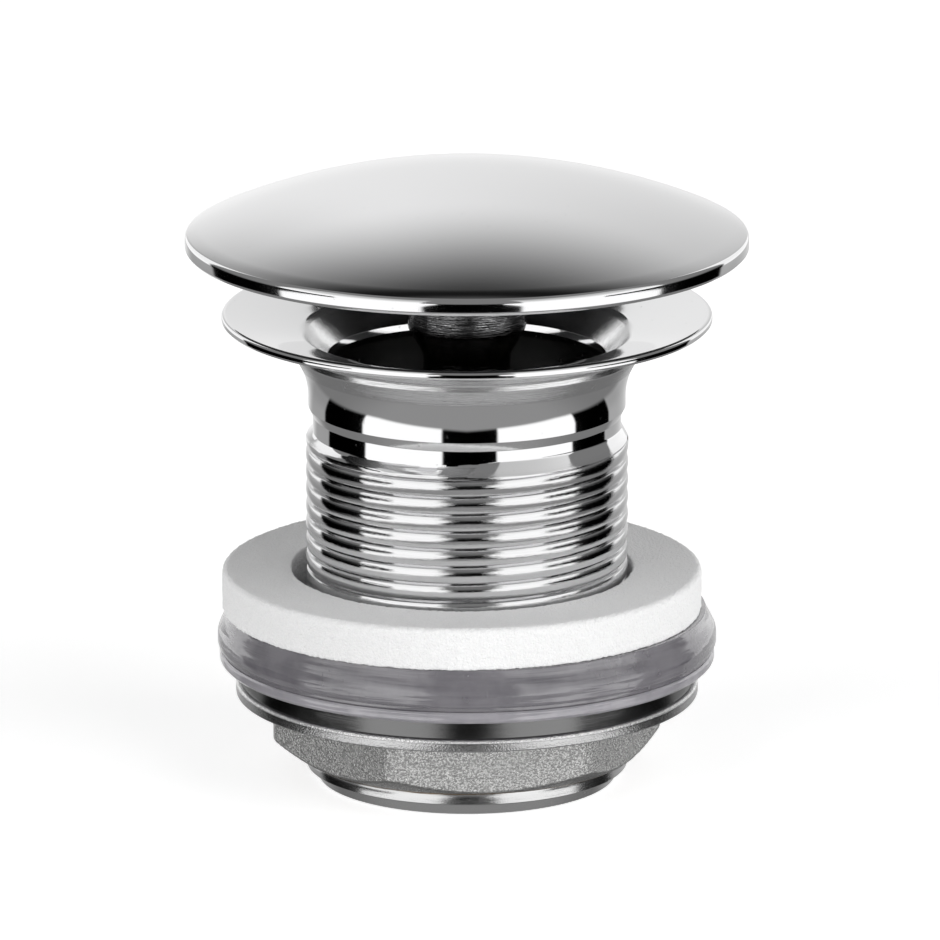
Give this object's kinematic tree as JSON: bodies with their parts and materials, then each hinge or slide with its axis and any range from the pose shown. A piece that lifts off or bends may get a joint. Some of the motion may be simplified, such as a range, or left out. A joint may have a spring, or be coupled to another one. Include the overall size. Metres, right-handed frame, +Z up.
{
  "type": "basin waste",
  "caption": "Push-open basin waste with a domed plug, dished flange, threaded tail, foam washer, lipped seal and flanged back nut.",
  "frame": {"origin": "centre of the tail's end face, the lowest point of the part", "axes": "+Z up the tube's axis towards the plug; +X along one spoke of the bridge"},
  "size_m": [0.073, 0.073, 0.0808],
  "materials": {
    "body_chrome": "polished chrome on turned brass",
    "cap_chrome": "polished chrome",
    "stem_chrome": "chrome with fine turning marks",
    "bare_brass": "machined brass",
    "nut_nickel": "nickelled brass, cast below and turned above",
    "steel": "stainless steel",
    "white_foam": "fine closed-cell foam",
    "milky_seal": "soft translucent plastic",
    "pale_plastic": "moulded plastic",
    "black_rubber": "moulded rubber",
    "dark_plastic": "moulded plastic",
    "ivory_plastic": "moulded acetal",
    "orange_plastic": "moulded acetal"
  },
  "bodies": {
    "tube": {"waste_body": "body_chrome", "bridge": "body_chrome", "cartridge_housing": "stem_chrome", "lock_nut": "bare_brass", "stem_wiper": "black_rubber", "spacer_sleeve": "ivory_plastic", "end_plug": "bare_brass"},
    "plug": {"cap": "cap_chrome", "seal_carrier": "dark_plastic", "plug_seal": "black_rubber", "cap_stud": "bare_brass", "stem": "stem_chrome", "track_barrel": "ivory_plastic", "plunger_rod": "steel", "rod_clip": "steel", "return_spring": "steel"},
    "latch": {"latch_ring": "orange_plastic", "latch_pegs": "steel"},
    "washers": {"foam_washer": "white_foam", "under_seal": "milky_seal", "slip_washer": "pale_plastic"},
    "nut": {"back_nut": "nut_nickel"}
  },
  "joints": [
    {"name": "cap_push", "type": "slide", "parent": "tube", "child": "plug", "axis": [0, 0, 1], "range_m": [-0.008, 0], "stiffness_N_per_m": 400, "springref_m": 0.012, "deforming": ["return_spring"]},
    {"name": "latch_turn", "type": "hinge", "parent": "tube", "child": "latch", "pos_m": [0, 0, 0.03], "axis": [0, 0, 1], "range_deg": [0, 40]},
    {"name": "nut_travel", "type": "slide", "parent": "tube", "child": "washers", "axis": [0, 0, 1], "range_m": [-0.003, 0.026]},
    {"name": "nut_turn", "type": "hinge", "parent": "washers", "child": "nut", "pos_m": [0, 0, 0.0095], "axis": [0, 0, 1], "range_deg": [-470, 4056]}
  ],
  "couplings": [
    {"joint": "latch_turn", "follows": "cap_push", "rad_per_m": -87.2},
    {"joint": "nut_turn", "follows": "nut_travel", "rad_per_m": 2721.2}
  ]
}
